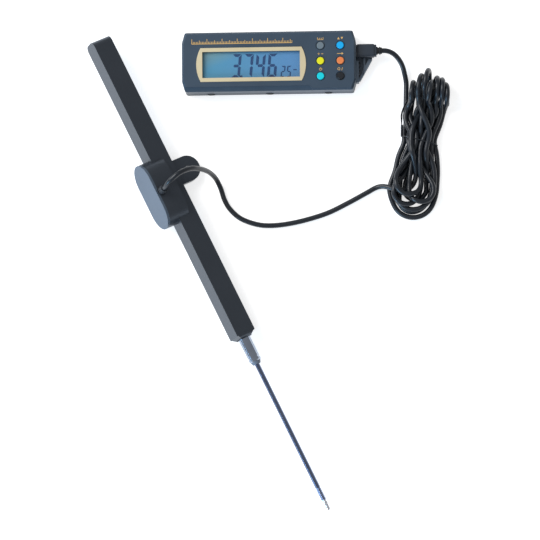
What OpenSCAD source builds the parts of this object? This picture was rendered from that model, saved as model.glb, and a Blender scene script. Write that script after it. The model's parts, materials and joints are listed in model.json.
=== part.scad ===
// Digital length gauge: a spring-free plunger probe read by a glass scale, its cable and a display.
// The display lies on its back at the origin. The probe leans on its lug beside it.

/* [Display housing] */
// Width of the display between its corners
body_w = 108.4; // [100:0.2:130]
// Height of the display from its lower to its upper edge
body_h = 38.5; // [37:0.5:50]
// Thickness of the display, back to face
body_d = 17; // [16.6:0.2:24]
// How far each end bows out in its middle
end_bow = 1.9; // [0.5:0.1:3]
// Length of each slanted corner of an end
end_slant = 6.6; // [4:0.5:12]
// Wall of both shells
shell_wall = 2; // [1.6:0.1:2.4]
// Face and floor thickness
face_t = 2; // [1.8:0.1:2.4]
// Height of the split between the shells
split_z = 9; // [8.4:0.1:9.4]
// Bevel round the face
face_bevel = 1.2; // [0.4:0.1:1.6]
// Outer corner radius of the shells
body_corner = 1.5; // [0.5:0.1:3]

/* [Readout] */
// Width of the visible readout
view_w = 63; // [50:0.5:64]
// Height of the visible readout
view_h = 17; // [12:0.2:18]
// Centre of the readout from the left end
view_in = 42.8; // [41:0.1:44]
// Centre of the readout, up
view_y = -2; // [-2.5:0.1:0]
// Width of the trim ring beside the readout, at its bowed ends
trim_side = 3.9; // [3.2:0.1:5]
// Height of the trim ring above and below the readout
trim_band = 2.5; // [2.2:0.1:3]
// Bow of each end of the trim ring
trim_bow = 2.8; // [1:0.1:4]
// Thickness of the trim ring
trim_t = 0.8; // [0.6:0.1:1]
// How far the trim ring stands above the face
trim_proud = 0.3; // [0.1:0.1:0.5]
// Thickness of the clear window
lens_t = 1.1; // [0.8:0.1:1.2]
// Ledge that holds the window all round
lens_ledge = 1.5; // [1:0.1:2]
// Thickness of the readout panel
lcd_t = 2.6; // [2:0.1:2.6]
// Circuit board thickness
board_t = 1.2; // [0.8:0.1:1.2]

/* [Keys] */
// Diameter of a key cap
key_d = 4.7; // [4:0.1:6]
// Spacing of the key columns
key_pitch_x = 12.8; // [11:0.1:14]
// Spacing of the key rows
key_pitch_y = 9.95; // [8:0.05:10.5]
// Left key column from the right end
key_in = 20.8; // [20:0.1:22]
// Middle key row, up
key_y = -0.4; // [-1:0.1:1]
// How far a key stands above the face
key_proud = 0.7; // [0.5:0.1:1.2]
// Radial gap between key and hole
key_gap = 0.2; // [0.15:0.05:0.3]
// Travel of a key
key_travel = 0.5; // [0.3:0.1:0.6]
// Width of the ring sunk round a key
key_dish = 0.5; // [0.2:0.1:0.8]

/* [Battery] */
// Diameter of the coin cell
cell_d = 20; // [20:0.5:24]
// Thickness of the coin cell
cell_t = 3.2; // [2.5:0.1:3.2]
// Diameter of the round battery cap
cap_d = 23.5; // [23:0.5:26]
// Centre of the battery from the left end
cell_in = 26.2; // [25:0.2:28]
// Running gap round the cap
cap_gap = 0.08; // [0.05:0.01:0.1]

/* [Side bracket] */
// Reach of the bracket ear beyond the display's end
ear_reach = 10.2; // [8:0.1:12]
// Thickness of the bracket ear
ear_t = 2.4; // [2:0.1:3]
// Width of the raised rim on the ear
rim_w = 2.2; // [1.5:0.1:3]
// Height of the raised rim
rim_h = 1.8; // [1:0.1:2.2]
// Screw hole in the ear, radius
ear_hole_r = 2.1; // [1.5:0.1:2.4]

/* [Plug and cable] */
// Cable diameter
cable_d = 3.3; // [3:0.1:3.4]
// Length of the plug's grip
plug_l = 12.9; // [11:0.1:14]
// Width of the plug's grip
plug_w = 8.6; // [8:0.1:10]
// Thickness of the plug's grip
plug_t = 6.8; // [6:0.1:7.2]
// Socket below the display's upper edge
plug_drop = 12.5; // [12:0.1:14]
// Length of the plug's strain relief
relief_l = 3.6; // [3:0.1:5]
// Diameter of the plug's strain relief
relief_d = 5.2; // [4.4:0.1:5.6]
// Length of the cable hank over its loops
hank_l = 100; // [90:1:110]
// Width of the hank across its lower loops
hank_w = 31; // [26:1:34]
// Width of the hank at its tie
waist_w = 21.5; // [18:0.5:24]
// Height of the hank
hank_h = 14; // [10:1:24]

/* [Probe beam] */
// Length of the beam
beam_l = 215; // [205:1:240]
// Width of the beam across its long face
beam_w = 13.2; // [12.8:0.1:15]
// Thickness of the beam
beam_t = 14; // [12.2:0.1:14.4]
// Radius of the beam's end corners
beam_end_r = 4; // [3:0.1:6]
// Chamfer beside the stem
nose_chamfer = 2.3; // [1:0.1:2.4]
// Wall of the beam
beam_wall = 1.6; // [1.4:0.1:1.8]
// Solid nose that holds the stem
nose_l = 9; // [8:0.5:12]
// Thickness of the back cover
cover_t = 1.6; // [1.4:0.1:2]

/* [Reading head] */
// Length of the head along the beam
head_l = 44.6; // [40:0.2:50]
// Thickness of the head
head_t = 24.4; // [21:0.2:26]
// How far the head stands off the beam's side
head_out = 8.4; // [7.6:0.1:10]
// How far the head reaches past the beam's centre line
head_wrap = 0.8; // [0:0.1:4]
// Thickness of the head's cover plate
lid_t = 1.6; // [1.2:0.1:2]
// Wall of the head
head_wall = 2; // [1.5:0.1:2.5]
// Length of the cable gland
gland_l = 6; // [4:0.5:8]
// Diameter of the cable gland at its base
gland_d = 6; // [5:0.1:6.4]

/* [Lug] */
// Thickness of the lug
lug_t = 5; // [4:0.1:6]
// Width of the lug along the beam
lug_w = 17; // [14:0.1:20]
// Reach of the lug beyond the beam
lug_reach = 18; // [12:0.1:20]
// Centre of the lug along the beam from the middle
lug_x = -8; // [-12:0.5:12]
// Height of the lug's lower face from the beam's centre line
lug_low = -2.5; // [-2.5:0.1:-0.5]
// Radius of the screw hole in the lug
lug_hole_r = 1.7; // [1.2:0.05:2.2]

/* [Stem and spindle] */
// Diameter of the clamping stem
stem_d = 8; // [7:0.5:9.5]
// Length of the stem outside the beam
stem_l = 16.3; // [12:0.1:20]
// Diameter of the spindle rod
rod_d = 3.2; // [2.5:0.1:4]
// Travel of the spindle
travel = 80; // [60:1:85]
// Rod that shows between stem and knurl when extended
rod_shown = 90.2; // [89:0.1:110]
// Length of the knurled part of the contact point
knurl_l = 10.2; // [8:0.2:14]
// Radial running gap of the rod in its bush
run_gap = 0.05; // [0.02:0.01:0.1]
// Length of the contact point's tip beyond the knurl
tip_l = 6.2; // [4:0.1:8]
// Radius of the tip's ball end
tip_r = 1.5; // [0.8:0.1:1.6]
// Length of scale that the reader sees
read_l = 16; // [12:1:20]
// Gap between reader and scale
read_gap = 0.3; // [0.2:0.05:0.4]
// Thickness of the glass scale
glass_t = 1.1; // [0.8:0.1:1.4]

/* [Placing] */
// Probe's middle from the display's middle, sideways
probe_x = -64.0; // [-80:0.1:-50]
// Probe's middle from the display's middle, up
probe_y = -81.8; // [-90:0.1:-70]
// Direction in which the spindle points
probe_turn = -64.3; // [-70:0.1:-60]

/* [Hidden] */
$fn = 48;
eps = 0.01;
seat = 0.05;
big = 400;

// Heights inside the display
face_z = body_d;
under_face = face_z - face_t;
board_top = under_face - lcd_t - 0.1;
board_z = board_top - board_t;
socket_t = 3;
plug_z = board_z - 0.1 - socket_t / 2;
end_x = body_w / 2 + end_bow;
view_x = -body_w / 2 + view_in;
key_x = body_w / 2 - key_in;
cell_x = -body_w / 2 + cell_in;
trim_w = view_w + 2 * trim_side;
trim_h = view_h + 2 * trim_band;
plug_y = body_h / 2 - plug_drop;

// Lengthwise places on the probe, from the beam's middle
nose_x = beam_l / 2;
stem_end = nose_x + stem_l;
seal_l = 2;
rod_end = stem_end + rod_shown;
knurl_end = rod_end + knurl_l;
tip_end = knurl_end + tip_l;
bumper_t = 2;
cavity_front = nose_x - nose_l;
cavity_back = -nose_x + nose_l / 2;
carriage_front = cavity_front - bumper_t - 0.3;
carriage_l = travel + read_l + 4;
head_side = beam_w / 2 + head_out;
lug_tip = beam_w / 2 + lug_reach;
glass_y = -beam_w / 2 + beam_wall + 1.4;

// The bench touches the head's edge, the lug's tip and the beam's nose
foot_a = [(head_l - head_t) / 2, head_wrap, -head_t / 2];
foot_b = [lug_x, lug_tip, lug_low];
foot_c = [nose_x - beam_end_r, beam_w / 2, -beam_t / 2];
floor_n = cross(foot_c - foot_a, foot_b - foot_a);
floor_u = floor_n / norm(floor_n) * sign(floor_n[2]);
pitch = asin(-floor_u[0]);
lean = atan2(-floor_u[1], floor_u[2]);
lift = -(foot_a * floor_u) + 0.03;

module probe() {
    translate([probe_x, probe_y, lift]) rotate([-lean, pitch, probe_turn]) children();
}

// ---------- outlines ----------

// Points of a polygon whose corners are rounded by arcs of radius r
function arc_corner(a, b, c, r, n = 5) =
    let (u = (a - b) / norm(a - b), v = (c - b) / norm(c - b))
    let (half = acos(u * v) / 2, m = (u + v) / norm(u + v), o = b + m * r / sin(half))
    let (s = b + u * r / tan(half) - o, e = b + v * r / tan(half) - o)
    let (a0 = atan2(s[1], s[0]), sweep = (atan2(e[1], e[0]) - a0 + 540) % 360 - 180)
    [for (i = [0:n]) o + r * [cos(a0 + sweep * i / n), sin(a0 + sweep * i / n)]];
function rounded(p, r) =
    let (k = len(p))
    [for (i = [0:k - 1]) each arc_corner(p[(i + k - 1) % k], p[i], p[(i + 1) % k], r)];

module stadium(l, w) {
    square([l - w, w], center = true);
    for (s = [-1, 1]) translate([s * (l - w) / 2, 0]) circle(d = w);
}

module body_outline(inset = 0) {
    x0 = body_w / 2 - inset;
    x1 = end_x - inset;
    y0 = body_h / 2 - inset;
    y1 = body_h / 2 - end_slant;
    corners = [[x0, y0], [-x0, y0], [-x1, y1], [-x1, -y1], [-x0, -y0], [x0, -y0], [x1, -y1], [x1, y1]];
    polygon(rounded(corners, max(0.4, body_corner - inset)));
}

module trim_outline(grow = 0) {
    h = trim_h + 2 * grow;
    bow_r = (pow(h / 2, 2) + pow(trim_bow, 2)) / (2 * trim_bow);
    intersection() {
        square([trim_w + 2 * grow, h], center = true);
        union() {
            square([trim_w - 2 * bow_r, h], center = true);
            for (s = [-1, 1]) translate([s * (trim_w / 2 + grow - bow_r), 0]) circle(bow_r, $fn = 96);
        }
    }
}

function key_at(i) = [key_x + (i % 2) * key_pitch_x, key_y + (1 - floor(i / 2)) * key_pitch_y];
screw_at = [for (x = [-1, 1], y = [-1, 1]) [x * (body_w / 2 - 4), y * (body_h / 2 - 4.6)]];

// ---------- display ----------

cap_z = 0.3;
socket_room = 2.4;
boss_d = 6;
front_boss_d = 5;
screw_d = 2;
screw_head = 3.8;
pilot_r = screw_d / 2 - 0.1;
tab_gap = 0.25;
cap_turn = 40;
cap_floor = face_t;

module socket_cut() {
    translate([end_x - shell_wall - socket_room, plug_y - socket_w / 2 - 0.6, plug_z - socket_t / 2 - 0.7])
        cube([2 * shell_wall + socket_room, socket_w + 1.2, socket_t + 1.4]);
}

module rear_shell() {
    color([0.17, 0.2, 0.24]) difference() {
        union() {
            difference() {
                linear_extrude(split_z) body_outline();
                translate([0, 0, face_t]) linear_extrude(split_z) body_outline(shell_wall);
            }
            for (p = screw_at) translate([p[0], p[1], eps]) cylinder(d = boss_d, h = split_z - eps);
            translate([cell_x, view_y, eps]) cylinder(d = cap_d + 6.4, h = face_t + 1.4);
        }
        for (p = screw_at) translate([p[0], p[1], -1]) {
            cylinder(r = screw_d / 2 + 0.2, h = split_z + 2);
            cylinder(d = screw_head + 0.6, h = 4);
        }
        translate([cell_x, view_y, -1]) cylinder(d = cap_d + 2 * cap_gap, h = face_t + 1);
        translate([cell_x, view_y, face_t - eps]) cylinder(d = cap_d + 4 + 2 * tab_gap, h = 4);
        translate([cell_x, view_y, -1]) for (k = [0:2]) rotate(k * 120 - cap_turn)
            translate([cap_d / 2 - 2, -2.5 - tab_gap, 0]) cube([4 + tab_gap, 5 + 2 * tab_gap, face_t + 2]);
        socket_cut();
        for (x = [-1, 0, 1]) translate([x * pad_pitch, -body_h / 2 + 0.7, pad_z]) rotate([90, 0, 0])
            cylinder(d = pad_d + 0.1, h = 4);
        for (y = bracket_screw_y) translate([end_x - 4, y, bracket_screw_z]) rotate([0, 90, 0])
            cylinder(r = pilot_r, h = 8);
    }
}

pad_d = 5;
pad_z = 4;
pad_pitch = 0.35 * body_w;

module edge_pads() {
    color([0.05, 0.05, 0.06]) for (x = [-1, 0, 1])
        translate([x * pad_pitch, -body_h / 2 + 0.7, pad_z]) rotate([90, 0, 0]) cylinder(d = pad_d, h = 1.1);
}

module front_shell() {
    color([0.22, 0.26, 0.31]) difference() {
        union() {
            difference() {
                hull() {
                    translate([0, 0, split_z]) linear_extrude(face_z - face_bevel - split_z) body_outline();
                    translate([0, 0, split_z]) linear_extrude(face_z - split_z) body_outline(face_bevel);
                }
                translate([0, 0, split_z - 1]) linear_extrude(under_face - split_z + 1)
                    body_outline(shell_wall);
            }
            for (p = screw_at) translate([p[0], p[1], split_z]) cylinder(d = front_boss_d, h = face_z - split_z - 1);
        }
        for (p = screw_at) translate([p[0], p[1], split_z - 1]) cylinder(r = pilot_r, h = 6);
        translate([view_x, view_y, 0]) {
            translate([-view_w / 2, -view_h / 2, under_face - 1]) cube([view_w, view_h, face_t + 2]);
            translate([-view_w / 2 - lens_ledge - seat, -view_h / 2 - lens_ledge - seat, lens_z])
                cube([view_w + 2 * lens_ledge + 2 * seat, view_h + 2 * lens_ledge + 2 * seat, face_t]);
            translate([0, 0, trim_z]) linear_extrude(face_t) trim_outline(seat);
        }
        for (i = [0:5]) translate(key_at(i)) {
            translate([0, 0, under_face - 1]) cylinder(r = key_d / 2 + key_gap, h = face_t + 2);
            translate([0, 0, face_z - 0.4]) cylinder(r = key_d / 2 + key_gap + key_dish, h = 1);
        }
        lower_facet();
        socket_cut();
    }
}

// Facet along the lower edge of the face, left of the keys, with a slanted end
facet_drop = 1.4;
facet_h = 3;
facet_step = 0.35;
facet_end = key_x - key_pitch_x / 2 + 2;

module lower_facet() {
    low = -body_h / 2;
    intersection() {
        translate([0, low, face_z]) rotate([90, 0, 90]) translate([0, 0, -big / 2]) linear_extrude(big)
            polygon([[-1, -facet_drop - 0.4], [-1, 1], [facet_h, 1], [facet_h, -facet_step],
                [face_bevel, -facet_drop]]);
        translate([0, 0, split_z]) linear_extrude(big) polygon([[-big, low - 2], [facet_end + 2, low - 2],
            [facet_end - 1.2, low + 1.2], [facet_end - 1.2 - facet_h, low + 1.2 + facet_h], [-big, low + 1.2 + facet_h]]);
    }
}

trim_z = face_z + trim_proud - trim_t;
lens_z = trim_z - lens_t;

module trim_ring() {
    color([0.79, 0.7, 0.52]) translate([view_x, view_y, trim_z]) linear_extrude(trim_t) difference() {
        trim_outline();
        square([view_w, view_h], center = true);
    }
}

module window() {
    color([0.7, 0.8, 0.85, 0.4]) translate([view_x, view_y, lens_z + lens_t / 2])
        cube([view_w + 2 * lens_ledge, view_h + 2 * lens_ledge, lens_t], center = true);
}

panel_rim = 2.5;

module readout_panel() {
    color([0.42, 0.63, 0.74]) translate([view_x, view_y, board_top + lcd_t / 2])
        cube([view_w + 2 * panel_rim, view_h + 3, lcd_t], center = true);
}

module circuit_board() {
    board_w = body_w - 2 * shell_wall - 3;
    color([0.1, 0.35, 0.2]) difference() {
        translate([0, 0, board_z + board_t / 2])
            cube([board_w, body_h - 2 * shell_wall - 2, board_t], center = true);
        for (p = screw_at) translate([p[0], p[1], board_z - 1]) cylinder(d = boss_d + 1, h = board_t + 2);
    }
}

switch_t = 1.1;

module key_switches() {
    color([0.2, 0.2, 0.22]) for (i = [0:5]) translate([each key_at(i), board_top]) {
        translate([-2.1, -2.1, 0]) cube([4.2, 4.2, switch_t - 0.4]);
        cylinder(d = 3, h = switch_t);
    }
}

module key(i, tint) {
    flange_t = 0.7;
    flange_top = under_face - 0.25;
    color(tint) translate(key_at(i)) {
        translate([0, 0, flange_top - eps]) cylinder(d = key_d, h = face_z + key_proud - flange_top - 0.3);
        translate([0, 0, face_z + key_proud - 0.3 - 2 * eps]) cylinder(d1 = key_d, d2 = key_d - 0.6, h = 0.3);
        translate([0, 0, flange_top - flange_t]) cylinder(d = key_d + 1, h = flange_t);
    }
}

module coin_cell() {
    color([0.75, 0.76, 0.78]) translate([cell_x, view_y, cell_z]) {
        cylinder(d = cell_d, h = cell_t * 0.8);
        cylinder(d = cell_d - 2.4, h = cell_t);
    }
}

cell_z = face_t + 1.6;

// Spring clip that ties the cell to the underside of the board
module cell_clip() {
    clip_t = 0.4;
    half = cell_d / 2 + 0.8;
    color([0.8, 0.8, 0.78]) for (s = [-1, 1]) translate([cell_x + s * half - 2 * (s + 1) / 2 + 1, view_y, 0]) {
        translate([-1, -4, cell_z + cell_t]) cube([2, 8, board_z - cell_z - cell_t]);
        translate([s > 0 ? -3 : -1, -4, cell_z + cell_t]) cube([4, 8, clip_t]);
    }
}

module battery_cap() {
    color([0.13, 0.15, 0.18]) translate([cell_x, view_y, 0]) difference() {
        union() {
            translate([0, 0, cap_z]) cylinder(d = cap_d, h = cap_floor - cap_z + 1.2);
            for (k = [0:2]) rotate(k * 120) translate([cap_d / 2 - 2, -2.5, cap_floor + 0.15])
                cube([4 - 0.2, 5, 1.05]);
        }
        translate([-8, -0.9, -1]) cube([16, 1.8, 2.3]);
    }
}

module shell_screws() {
    color([0.6, 0.6, 0.62]) for (p = screw_at) translate([p[0], p[1], 4 - 1 - 1.4]) difference() {
        union() {
            cylinder(d = screw_head, h = 1.4);
            cylinder(r = pilot_r - 0.02, h = split_z + 3);
        }
        for (a = [0, 90]) rotate(a) translate([-1.2, -0.25, -1]) cube([2.4, 0.5, 1.7]);
    }
}

// ---------- side bracket ----------

flange_t = 1.6;
ear_z = 2;
ear_low = -13.5;
ear_top = 10.5;
ear_wide = 1.6;
bracket_screw_z = 6.6;
bracket_screw_y = [-1.8, -7];

module ear_outline() {
    polygon([[0, ear_low], [2.6, ear_low + 1.5], [ear_reach, ear_wide], [ear_reach, ear_top], [0, ear_top]]);
}

module side_bracket() {
    color([0.16, 0.18, 0.21]) translate([end_x + seat, 0, ear_z]) difference() {
        union() {
            linear_extrude(ear_t) ear_outline();
            translate([0, ear_low, 0]) cube([flange_t, 14, bracket_screw_z - ear_z + 2.2]);
            linear_extrude(ear_t + rim_h) intersection() {
                ear_outline();
                union() {
                    polygon([[2.6 - rim_w, ear_low], [2.6 + rim_w, ear_low], [ear_reach + 1, ear_wide],
                        [ear_reach - rim_w, ear_wide + 0.6]]);
                    translate([ear_reach - rim_w - 3.4, ear_wide - 6]) square([1.2, 8]);
                }
            }
        }
        translate([ear_reach / 2 + 0.6, plug_y, -1]) cylinder(r = ear_hole_r, h = ear_t + 4);
        for (y = bracket_screw_y) translate([-1, y, bracket_screw_z - ear_z]) rotate([0, 90, 0])
            cylinder(r = screw_d / 2 + 0.2, h = 6);
    }
}

module bracket_screws() {
    color([0.6, 0.6, 0.62]) for (y = bracket_screw_y)
        translate([end_x + seat, y, bracket_screw_z]) rotate([0, 90, 0]) {
            translate([0, 0, -shell_wall - 1]) cylinder(r = pilot_r - 0.02, h = shell_wall + flange_t + 1.5);
            translate([0, 0, flange_t]) cylinder(d1 = screw_head, d2 = screw_head - 1, h = 1);
        }
}

// ---------- socket, plug and cable ----------

socket_w = 8;
socket_l = 6;

module socket() {
    color([0.75, 0.76, 0.78]) translate([end_x - shell_wall - socket_l + 0.5, plug_y, plug_z]) difference() {
        translate([0, -socket_w / 2, -socket_t / 2]) cube([socket_l, socket_w, socket_t]);
        translate([1, -socket_w / 2 + 0.35, -socket_t / 2 + 0.35]) cube([socket_l, socket_w - 0.7, socket_t - 0.7]);
    }
}

module plug_tip() {
    tip_in = shell_wall + 4;
    color([0.75, 0.76, 0.78]) translate([end_x - tip_in + 0.4, plug_y - 3.45, plug_z - 0.95])
        cube([tip_in - 0.4 + 0.3, 6.9, 1.9]);
}

plug_x = end_x + 0.3;

module plug_grip() {
    lip = 0.5;
    color([0.1, 0.11, 0.13]) translate([plug_x, plug_y, plug_z]) rotate([90, 0, 90]) {
        linear_extrude(plug_l) polygon(rounded([for (s = [[1, 1], [-1, 1], [-1, -1], [1, -1]])
            [s[0] * (plug_w / 2 - lip), s[1] * (plug_t / 2 - lip)]], 1.2));
        translate([0, 0, 0.6]) linear_extrude(plug_l - 2.2) polygon(rounded(
            [for (s = [[1, 1], [-1, 1], [-1, -1], [1, -1]]) [s[0] * plug_w / 2, s[1] * plug_t / 2]], 1.6));
    }
}

module plug_relief() {
    rib = relief_l / 4;
    color([0.1, 0.11, 0.13]) translate([plug_x + plug_l, plug_y, plug_z]) rotate([0, 90, 0]) {
        cylinder(d = relief_d - 1, h = relief_l);
        for (k = [0, 2]) translate([0, 0, k * rib]) cylinder(d = relief_d, h = rib * 0.9);
    }
}

// Route of the cable from the plug to the hank, and from the hank to the gland
lead_route = [[plug_x + plug_l + relief_l, plug_y, plug_z], [76.5, 6.5, 9.3], [80.5, 4.7, 8.2],
    [83.9, 1.1, 6.4], [86.1, -3.3, 4.6], [87.4, -8.7, 3], [88.2, -14, 2]];
run_route = [[77.8, -78.7, 2], [69.5, -80.7, 1.7], [61.5, -84.8, 1.7], [50.1, -90.9, 1.7],
    [37.2, -97.1, 1.7], [24.2, -101.2, 1.7], [11.8, -103.9, 1.7], [0.3, -105, 1.7],
    [-9.2, -104.1, 1.7], [-19.7, -100.1, 1.7], [-26.7, -93.7, 1.7], [-30.2, -87.4, 1.7],
    [-32.3, -80.7, 2.3], [-35, -75, 6], [-37.9, -72.1, 12.5], [-40.7, -71.1, 20.5],
    [-44.5, -71, 29], [-49.4, -71.8, 36.6], [-55.8, -74.8, 41.5], [-61.2, -79.1, 41.6],
    [-64, -81.6, 39.3], [-65.4, -83.2, 35.8], [-66.5, -83.65, 33.1]];

function along(p, i) = let (k = len(p))
    let (d = i == 0 ? p[1] - p[0] : i == k - 1 ? p[k - 1] - p[k - 2] : p[i + 1] - p[i - 1]) d / norm(d);
function ring_at(p, i, r, n) = let (t = along(p, i), s = cross(t, [0, 0, 1]), u = s / norm(s), v = cross(u, t))
    [for (k = [0:n - 1]) p[i] + r * (cos(360 * k / n) * u + sin(360 * k / n) * v)];
function smooth(p, m) = [for (i = [0:len(p) - 2]) let (a = p[max(0, i - 1)], b = p[i], c = p[i + 1],
    d = p[min(len(p) - 1, i + 2)]) for (j = [0:m - 1]) let (t = j / m)
    0.5 * (2 * b + (c - a) * t + (2 * a - 5 * b + 4 * c - d) * t * t + (3 * b - a - 3 * c + d) * t * t * t),
    p[len(p) - 1]];

module tube(route, d, per = 2, n = 8) {
    p = smooth(route, per);
    k = len(p);
    pts = [for (i = [0:k - 1]) each ring_at(p, i, d / 2, n)];
    sides = [for (i = [0:k - 2], j = [0:n - 1])
        [i * n + j, i * n + (j + 1) % n, (i + 1) * n + (j + 1) % n, (i + 1) * n + j]];
    polyhedron(pts, concat([[for (j = [n - 1:-1:0]) j]], sides, [[for (j = [0:n - 1]) (k - 1) * n + j]]));
}

hank_at = [96.8, -51.8];
hank_turn = 82.2;
tie_w = 1.6;
tie_t = 0.7;
tie_x = 0;

module hank_outline(grow = 0) {
    x1 = (hank_l - hank_w) / 2;
    polygon([[-x1, -hank_w / 2 - grow], [tie_x, -waist_w / 2 - grow], [x1, -hank_w / 2 - grow],
        [x1, hank_w / 2 + grow], [tie_x, waist_w / 2 + grow], [-x1, hank_w / 2 + grow]]);
    for (s = [-1, 1]) translate([s * x1, 0]) circle(d = hank_w + 2 * grow);
}

module cord_hank() {
    color([0.12, 0.13, 0.15]) translate([hank_at[0], hank_at[1], 0]) rotate(hank_turn) difference() {
        linear_extrude(hank_h) hank_outline();
        tie_band(seat);
    }
}

module tie_band(grow = 0) {
    difference() {
        translate([tie_x - tie_w / 2 - grow, -waist_w / 2 - 1, -grow])
            cube([tie_w + 2 * grow, waist_w + 2, hank_h + 2 * grow]);
        translate([tie_x - 5, -waist_w / 2 + tie_t + grow, tie_t + grow])
            cube([10, waist_w - 2 * tie_t - 2 * grow, hank_h - 2 * tie_t - 2 * grow]);
    }
}

module cord_tie() {
    color([0.1, 0.1, 0.11]) translate([hank_at[0], hank_at[1], 0]) rotate(hank_turn) {
        tie_band();
        translate([tie_x + 0.8, waist_w / 2 + 1, 4]) rotate([0, 90, 12]) cylinder(d = 1.6, h = 9, $fn = 16);
    }
}

module cord_lead() { color([0.12, 0.13, 0.15]) tube(lead_route, cable_d); }
module cord_run() { color([0.12, 0.13, 0.15]) tube(run_route, cable_d); }

// ---------- probe ----------

module beam_outline(l, t, r) {
    polygon(rounded([for (s = [[1, 1], [-1, 1], [-1, -1], [1, -1]]) [s[0] * l / 2, s[1] * t / 2]], r));
}

// Turns an outline in x and z into a solid from y0 to y1
module slab(y0, y1) { translate([0, y1, 0]) rotate([90, 0, 0]) linear_extrude(y1 - y0) children(); }

cavity_t = beam_t - 2 * beam_wall;
cavity_l = cavity_front - cavity_back;
spigot_d = stem_d - 1.4;
cover_l = cavity_l + 2 * beam_wall;
cover_screw_x = [for (s = [-1, 1], f = [0.96, 0.42]) s * f * cover_l / 2];
cavity_mid = (cavity_front + cavity_back) / 2;
head_screw_x = [-8, 8];
cover_boss = 4.4;

module beam_housing() {
    color([0.13, 0.14, 0.15]) probe() difference() {
        slab(-beam_w / 2, beam_w / 2) beam_outline(beam_l, beam_t, beam_end_r);
        for (s = [-1, 1]) translate([nose_x, s * beam_w / 2, 0]) rotate(s * 45)
            cube([2 * nose_chamfer, nose_chamfer * sqrt(2), big], center = true);
        translate([cavity_back, -beam_w / 2 + beam_wall, -cavity_t / 2]) cube([cavity_l, big, cavity_t]);
        translate([cavity_mid - cover_l / 2 - seat, beam_w / 2 - cover_t, -cavity_t / 2 - 0.6 - seat])
            cube([cover_l + 2 * seat, big, cavity_t + 1.2 + 2 * seat]);
        translate([-read_l / 2 - 1, -beam_w, -reader_w / 2 - 1]) cube([read_l + 2, beam_w, reader_w + 2]);
        translate([cavity_front - 1, 0, 0]) rotate([0, 90, 0]) cylinder(d = spigot_d, h = nose_l + 2);
        for (x = head_screw_x) translate([x, -beam_w / 2 + 3, -beam_t / 2 - 1]) cylinder(r = pilot_r, h = 2.2);
    }
}

module lug_cover() {
    color([0.13, 0.14, 0.15]) probe() difference() {
        union() {
            translate([cavity_mid - cover_l / 2, beam_w / 2 - cover_t, -cavity_t / 2 - 0.6])
                cube([cover_l, cover_t, cavity_t + 1.2]);
            translate([lug_x, 0, lug_low]) linear_extrude(lug_t) {
                translate([-lug_w / 2, beam_w / 2 - cover_t]) square([lug_w, lug_reach + cover_t - lug_w / 2]);
                translate([0, lug_tip - lug_w / 2]) circle(d = lug_w);
            }
            for (x = cover_screw_x) translate([cavity_mid + x, beam_w / 2 - cover_t + eps, 0])
                rotate([90, 0, 0]) cylinder(d = cover_boss, h = 0.8);
        }
        translate([lug_x, lug_tip - lug_w / 2, lug_low - 1]) cylinder(r = lug_hole_r, h = lug_t + 2);
        for (x = cover_screw_x) translate([cavity_mid + x, beam_w / 2 - cover_t - 2, 0]) rotate([-90, 0, 0]) {
            cylinder(r = pilot_r + 0.15, h = 8);
            translate([0, 0, 2 + cover_t - 1]) cylinder(d1 = 1.8, d2 = 3.8, h = 1.05);
        }
    }
}

module cover_screws() {
    color([0.55, 0.55, 0.57]) probe() for (x = cover_screw_x)
        translate([cavity_mid + x, beam_w / 2 - cover_t - 0.9, 0]) rotate([-90, 0, 0]) {
            cylinder(r = pilot_r, h = cover_t + 0.8);
            translate([0, 0, cover_t - 0.1]) cylinder(d1 = 1.8, d2 = 3.6, h = 0.9);
        }
}

head_in = beam_w / 2 + seat;
pocket_y = -head_side + lid_t;
pocket_floor = -beam_w / 2 - 1.5;
gland_y = pocket_y + 2.2;
gland_x = 0;
gland_hole_r = 1.85;

module head_shell() {
    color([0.14, 0.15, 0.16]) probe() difference() {
        slab(pocket_y, head_wrap) stadium(head_l, head_t);
        translate([-big / 2, -head_in, -beam_t / 2 - seat]) cube([big, big, beam_t + 2 * seat]);
        slab(pocket_y - 1, pocket_floor) stadium(head_l - 2 * head_wall, head_t - 2 * head_wall);
        translate([-read_l / 2 - 1, -head_side, -reader_w / 2 - 1]) cube([read_l + 2, head_side, reader_w + 2]);
        translate([gland_x, gland_y, head_t / 2 - head_wall - 1]) cylinder(r = gland_hole_r, h = head_wall + 2);
        for (x = head_screw_x) translate([x, -beam_w / 2 + 3, -head_t / 2 - 1]) {
            cylinder(r = screw_d / 2 + 0.2, h = head_t / 2);
            cylinder(d = screw_head + 0.4, h = 3);
        }
    }
}

module head_lid() {
    color([0.15, 0.16, 0.17]) probe() {
        slab(-head_side, pocket_y) stadium(head_l, head_t);
        slab(pocket_y, pocket_y + 1) stadium(head_l - 2 * head_wall - 0.2, head_t - 2 * head_wall - 0.2);
    }
}

module head_screws() {
    color([0.55, 0.55, 0.57]) probe() for (x = head_screw_x)
        translate([x, -beam_w / 2 + 3, -head_t / 2 + 2 - 1.4]) {
            cylinder(d = screw_head, h = 1.4);
            cylinder(r = pilot_r - 0.02, h = (head_t - beam_t) / 2);
        }
}

reader_w = 6.8;
glass_w = reader_w - 0.4;
sensor_y = pocket_y + 1.4;

module sensor_board() {
    long = head_l - 2 * head_wall - 10.6;
    tall = head_t - 2 * head_wall - 3.4;
    color([0.1, 0.35, 0.2]) probe() translate([-long / 2, sensor_y, -tall / 2]) cube([long, 1.2, tall]);
}

module reader() {
    face_y = glass_y - read_gap;
    color([0.12, 0.12, 0.14]) probe() translate([-read_l / 2, sensor_y + 1.2, -reader_w / 2])
        cube([read_l, face_y - sensor_y - 1.2, reader_w]);
}

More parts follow.
